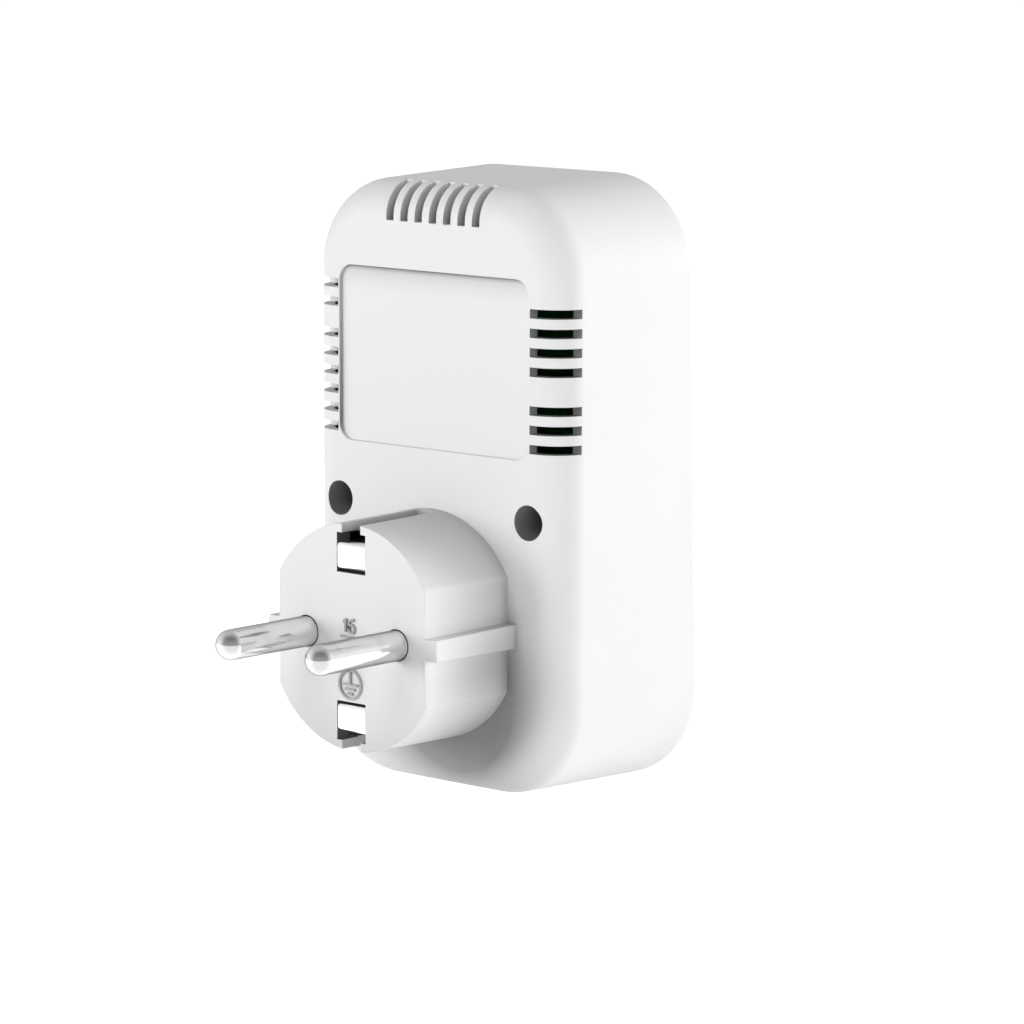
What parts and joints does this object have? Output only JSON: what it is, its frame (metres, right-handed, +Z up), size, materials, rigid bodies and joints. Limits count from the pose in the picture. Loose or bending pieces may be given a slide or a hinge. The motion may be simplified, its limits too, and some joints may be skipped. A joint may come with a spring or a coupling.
{
  "type": "plug-in power meter",
  "caption": "Plug-in mains power meter: round earthed plug behind, vented meter housing with display and keys, pass-through outlet with a sprung safety shutter in front.",
  "frame": {"origin": "centre of the plug's contact face, midway between the pins where they leave the plug", "axes": "+Y along the pins towards the wall, +Z up towards the display end, -Y towards the user"},
  "size_m": [0.055, 0.0706, 0.0968],
  "materials": {
    "housing_white": "fine satin moulded plastic",
    "cover_white": "fine satin moulded plastic",
    "outlet_white": "semi-gloss moulded plastic",
    "nickel": "nickel plated",
    "brass": "stamped sheet",
    "steel": "zinc plated",
    "manganin": "dull resistance alloy",
    "insulator_grey": "moulded, matte",
    "board_green": "green solder mask over glass laminate",
    "clear_plastic": "clear polished plastic",
    "display_glass": "grey-green reflective display glass",
    "rubber_black": "zebra silicone",
    "button_grey": "soft matte keys",
    "chip_black": "moulded epoxy",
    "capacitor_yellow": "potted box",
    "sleeve_blue": "shrink sleeve",
    "varistor_blue": "dipped coating",
    "ceramic_white": "unglazed tube"
  },
  "bodies": {
    "housing": {"rear_housing": "housing_white", "plug_body": "housing_white", "front_cover": "cover_white", "socket_insert": "outlet_white", "display_frame": "outlet_white", "live_pin": "nickel", "neutral_pin": "nickel", "plug_earth_strap": "nickel", "socket_earth_bracket": "nickel", "crystal": "nickel", "live_contact": "brass", "neutral_contact": "brass", "neutral_link": "brass", "live_link": "brass", "output_link": "brass", "earth_link": "brass", "case_screw_left": "steel", "case_screw_right": "steel", "main_board_screw_left": "steel", "main_board_screw_right": "steel", "display_screw_left": "steel", "display_screw_right": "steel", "backup_cell": "steel", "switch_function": "steel", "switch_cost": "steel", "switch_up": "steel", "switch_down": "steel", "shunt": "manganin", "shutter_cover": "insulator_grey", "cell_holder": "insulator_grey", "main_board": "board_green", "display_board": "board_green", "display_window": "clear_plastic", "display_panel": "display_glass", "elastomer_strip": "rubber_black", "metering_chip": "chip_black", "microcontroller": "chip_black", "board_header": "chip_black", "film_capacitor": "capacitor_yellow", "supply_capacitor": "sleeve_blue", "smoothing_capacitor": "sleeve_blue", "varistor": "varistor_blue", "fuse": "ceramic_white"},
    "shutter": {"socket_shutter": "insulator_grey", "shutter_spring": "steel"},
    "button_function": {"button_function": "button_grey", "switch_plunger_function": "chip_black"},
    "button_cost": {"button_cost": "button_grey", "switch_plunger_cost": "chip_black"},
    "button_up": {"button_up": "button_grey", "switch_plunger_up": "chip_black"},
    "button_down": {"button_down": "button_grey", "switch_plunger_down": "chip_black"}
  },
  "joints": [
    {"name": "shutter_slide", "type": "slide", "parent": "housing", "child": "shutter", "axis": [0, 0, 1], "range_m": [0, 0.0062], "stiffness_N_per_m": 120, "springref_m": -0.002, "deforming": ["shutter_spring"]},
    {"name": "press_function", "type": "slide", "parent": "housing", "child": "button_function", "axis": [0, 1, 0], "range_m": [0, 0.0005], "stiffness_N_per_m": 2500, "springref_m": -0.0003},
    {"name": "press_cost", "type": "slide", "parent": "housing", "child": "button_cost", "axis": [0, 1, 0], "range_m": [0, 0.0005], "stiffness_N_per_m": 2500, "springref_m": -0.0003},
    {"name": "press_up", "type": "slide", "parent": "housing", "child": "button_up", "axis": [0, 1, 0], "range_m": [0, 0.0005], "stiffness_N_per_m": 2500, "springref_m": -0.0003},
    {"name": "press_down", "type": "slide", "parent": "housing", "child": "button_down", "axis": [0, 1, 0], "range_m": [0, 0.0005], "stiffness_N_per_m": 2500, "springref_m": -0.0003}
  ]
}
